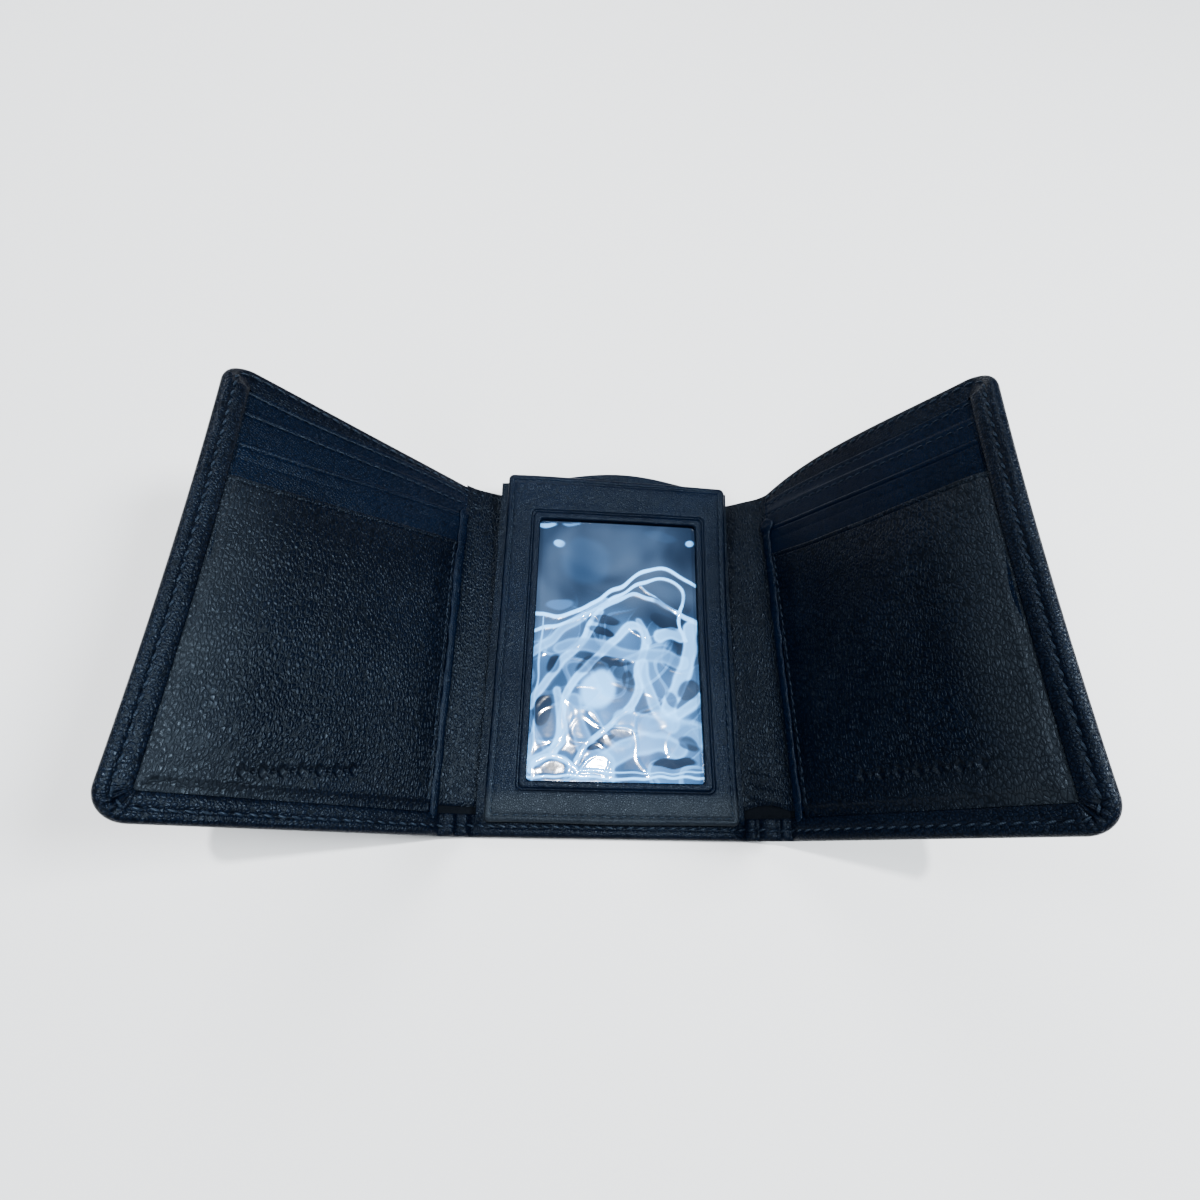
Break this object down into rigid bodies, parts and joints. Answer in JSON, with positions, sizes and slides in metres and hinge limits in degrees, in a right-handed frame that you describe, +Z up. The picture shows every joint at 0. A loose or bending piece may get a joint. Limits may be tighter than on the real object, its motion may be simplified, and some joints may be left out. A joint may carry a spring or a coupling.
{
  "type": "trifold wallet",
  "caption": "Leather trifold wallet with a full-width bill compartment, card pockets on both wings and a windowed ID pocket in the middle.",
  "frame": {"origin": "centre of the middle panel's underside, between its top and bottom edges and about midway between its folds, on the surface it rests on", "axes": "+X across the three panels towards the right wing, +Y towards the open top of the bill compartment, +Z up out of the resting surface"},
  "size_m": [0.1899, 0.1095, 0.0716],
  "materials": {
    "shell_leather": "fine-grained black leather with a blue cast, satin",
    "smooth_leather": "smooth black leather, satin",
    "grained_leather": "pebbled black leather, satin",
    "lining_fabric": "matte woven lining",
    "clear_vinyl": "clear flexible vinyl, glossy and slightly wrinkled"
  },
  "bodies": {
    "middle": {"shell_middle": "shell_leather", "bill_lining_middle": "lining_fabric", "inner_wall_middle": "smooth_leather", "id_backing": "lining_fabric", "id_window": "clear_vinyl", "id_frame": "smooth_leather"},
    "spine_left": {"shell_spine_left": "shell_leather", "bill_lining_spine_left": "lining_fabric", "gusset_left": "grained_leather"},
    "wing_left": {"shell_wing_left": "shell_leather", "bill_lining_wing_left": "lining_fabric", "inner_panel_left": "smooth_leather", "slot_strip_left": "smooth_leather", "front_pocket_left": "grained_leather", "hinge_binding_left": "smooth_leather"},
    "spine_right": {"shell_spine_right": "shell_leather", "bill_lining_spine_right": "lining_fabric", "gusset_right": "grained_leather"},
    "wing_right": {"shell_wing_right": "shell_leather", "bill_lining_wing_right": "lining_fabric", "inner_panel_right": "smooth_leather", "slot_strip_right": "smooth_leather", "front_pocket_right": "grained_leather", "hinge_binding_right": "smooth_leather"}
  },
  "joints": [
    {"name": "left_fold", "type": "hinge", "parent": "middle", "child": "spine_left", "pos_m": [-0.0396, 0, 0.0005], "axis": [0, 1, 0], "range_deg": [-21.8, 68.2]},
    {"name": "left_wing_fold", "type": "hinge", "parent": "spine_left", "child": "wing_left", "pos_m": [-0.04833, 0, 0.00399], "axis": [0, 1, 0], "range_deg": [-21.8, 68.2]},
    {"name": "right_fold", "type": "hinge", "parent": "middle", "child": "spine_right", "pos_m": [0.0372, 0, 0.0005], "axis": [0, -1, 0], "range_deg": [-29.5, 60.5]},
    {"name": "right_wing_fold", "type": "hinge", "parent": "spine_right", "child": "wing_right", "pos_m": [0.04904, 0, 0.0072], "axis": [0, -1, 0], "range_deg": [-29.5, 60.5]}
  ],
  "couplings": [
    {"joint": "left_wing_fold", "follows": "left_fold", "ratio": 1},
    {"joint": "right_wing_fold", "follows": "right_fold", "ratio": 1}
  ]
}
